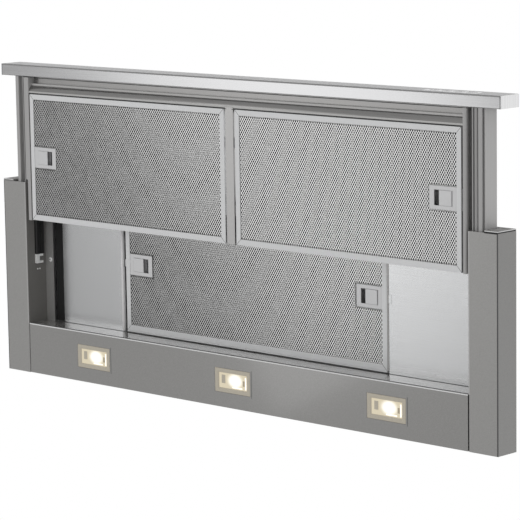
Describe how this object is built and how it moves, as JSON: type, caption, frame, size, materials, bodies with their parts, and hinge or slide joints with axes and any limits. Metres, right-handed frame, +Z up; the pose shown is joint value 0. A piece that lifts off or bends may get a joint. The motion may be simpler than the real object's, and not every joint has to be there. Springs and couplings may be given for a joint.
{
  "type": "telescopic range hood",
  "caption": "Slim telescopic range hood with a slide-out filter tray, latched grease filters, rear lamp panel, front push buttons, blower box and round duct collar.",
  "frame": {"origin": "middle of the cabinet screw rectangle, on the top pan's upper face", "axes": "+X to the user's right along the front strip, -Y towards the user, +Z up"},
  "size_m": [0.898, 0.439, 0.203],
  "materials": {
    "grey_casing": "satin metallic paint",
    "stainless": "fine brushed",
    "filter_aluminium": "satin",
    "galvanised_sheet": "satin",
    "black_plastic": "matt",
    "lamp_frame_plastic": "satin",
    "white_plastic": "matt",
    "lens_clear": "clear",
    "light_source": "lit",
    "motor_paint": "satin",
    "bare_steel": "plain",
    "circuit_board": "matt",
    "grey_plastic": "satin silver"
  },
  "bodies": {
    "hood": {"top_pan": "galvanised_sheet", "ceiling_plate": "galvanised_sheet", "left_side_casing": "grey_casing", "right_side_casing": "grey_casing", "left_casing_cap": "grey_casing", "right_casing_cap": "grey_casing", "left_guide_rail": "galvanised_sheet", "right_guide_rail": "galvanised_sheet", "left_tray_runner": "black_plastic", "right_tray_runner": "black_plastic", "left_rail_glide": "white_plastic", "right_rail_glide": "white_plastic", "seal_strips": "black_plastic", "casing_screws": "white_plastic", "lamp_panel": "grey_casing", "lamp_bezels": "lamp_frame_plastic", "lamp_lenses": "lens_clear", "led_modules": "light_source", "motor_housing": "galvanised_sheet", "scroll_lower": "black_plastic", "scroll_upper": "black_plastic", "fan_motor": "motor_paint", "outlet_collar": "black_plastic", "damper_pin": "bare_steel", "electronics_box": "black_plastic", "capacitor": "white_plastic", "cable_gland": "black_plastic"},
    "fan": {"impeller": "black_plastic", "motor_shaft": "bare_steel"},
    "right_flap": {"right_damper_flap": "black_plastic"},
    "left_flap": {"left_damper_flap": "black_plastic"},
    "tray": {"fascia": "stainless", "fascia_ends": "stainless", "control_bezel": "stainless", "control_board": "circuit_board", "tray_front_channel": "stainless", "left_tray_side": "stainless", "right_tray_side": "stainless", "left_tray_rail": "stainless", "right_tray_rail": "stainless", "tray_separator": "stainless", "tray_rear_bar": "stainless"},
    "right_filter": {"right_filter_frame": "filter_aluminium", "right_filter_mesh": "filter_aluminium", "right_latch_housing": "filter_aluminium"},
    "left_filter": {"left_filter_frame": "filter_aluminium", "left_filter_mesh": "filter_aluminium", "left_latch_housing": "filter_aluminium"},
    "rear_filter": {"rear_filter_frame": "filter_aluminium", "rear_filter_mesh": "filter_aluminium", "rear_latch_housings": "filter_aluminium"},
    "right_latch": {"right_latch_slider": "filter_aluminium"},
    "left_latch": {"left_latch_slider": "filter_aluminium"},
    "rear_right_latch": {"rear_right_latch_slider": "filter_aluminium"},
    "rear_left_latch": {"rear_left_latch_slider": "filter_aluminium"},
    "button_1": {"push_button_1": "grey_plastic"},
    "button_2": {"push_button_2": "grey_plastic"},
    "button_3": {"push_button_3": "grey_plastic"},
    "button_4": {"push_button_4": "grey_plastic"}
  },
  "joints": [
    {"name": "tray_slide", "type": "slide", "parent": "hood", "child": "tray", "axis": [0, -1, 0], "range_m": [-0.146, 0]},
    {"name": "right_filter_swing", "type": "hinge", "parent": "tray", "child": "right_filter", "pos_m": [0.0103, -0.1475, -0.0412], "axis": [0, 1, 0], "range_deg": [0, 90]},
    {"name": "left_filter_swing", "type": "hinge", "parent": "tray", "child": "left_filter", "pos_m": [-0.0103, -0.1475, -0.0412], "axis": [0, -1, 0], "range_deg": [0, 90]},
    {"name": "rear_filter_swing", "type": "hinge", "parent": "hood", "child": "rear_filter", "pos_m": [0, -0.0984, -0.0059], "axis": [-1, 0, 0], "range_deg": [0, 25]},
    {"name": "right_latch_pull", "type": "slide", "parent": "right_filter", "child": "right_latch", "axis": [-1, 0, 0], "range_m": [-0.004, 0.005], "stiffness_N_per_m": 300},
    {"name": "left_latch_pull", "type": "slide", "parent": "left_filter", "child": "left_latch", "axis": [1, 0, 0], "range_m": [-0.004, 0.005], "stiffness_N_per_m": 300},
    {"name": "rear_right_latch_pull", "type": "slide", "parent": "rear_filter", "child": "rear_right_latch", "axis": [-1, 0, 0], "range_m": [-0.004, 0.005], "stiffness_N_per_m": 300},
    {"name": "rear_left_latch_pull", "type": "slide", "parent": "rear_filter", "child": "rear_left_latch", "axis": [1, 0, 0], "range_m": [-0.004, 0.005], "stiffness_N_per_m": 300},
    {"name": "fan_spin", "type": "hinge", "parent": "hood", "child": "fan", "pos_m": [-0.13, 0.013, 0.07], "axis": [0, 0, 1], "continuous": true},
    {"name": "right_flap_lift", "type": "hinge", "parent": "hood", "child": "right_flap", "pos_m": [0.14, 0.067, 0.138], "axis": [0, -1, 0], "range_deg": [0, 78]},
    {"name": "left_flap_lift", "type": "hinge", "parent": "hood", "child": "left_flap", "pos_m": [0.14, 0.067, 0.138], "axis": [0, 1, 0], "range_deg": [0, 78]},
    {"name": "button_1_press", "type": "slide", "parent": "tray", "child": "button_1", "axis": [0, 1, 0], "range_m": [0, 0.0012], "stiffness_N_per_m": 400},
    {"name": "button_2_press", "type": "slide", "parent": "tray", "child": "button_2", "axis": [0, 1, 0], "range_m": [0, 0.0012], "stiffness_N_per_m": 400},
    {"name": "button_3_press", "type": "slide", "parent": "tray", "child": "button_3", "axis": [0, 1, 0], "range_m": [0, 0.0012], "stiffness_N_per_m": 400},
    {"name": "button_4_press", "type": "slide", "parent": "tray", "child": "button_4", "axis": [0, 1, 0], "range_m": [0, 0.0012], "stiffness_N_per_m": 400}
  ]
}
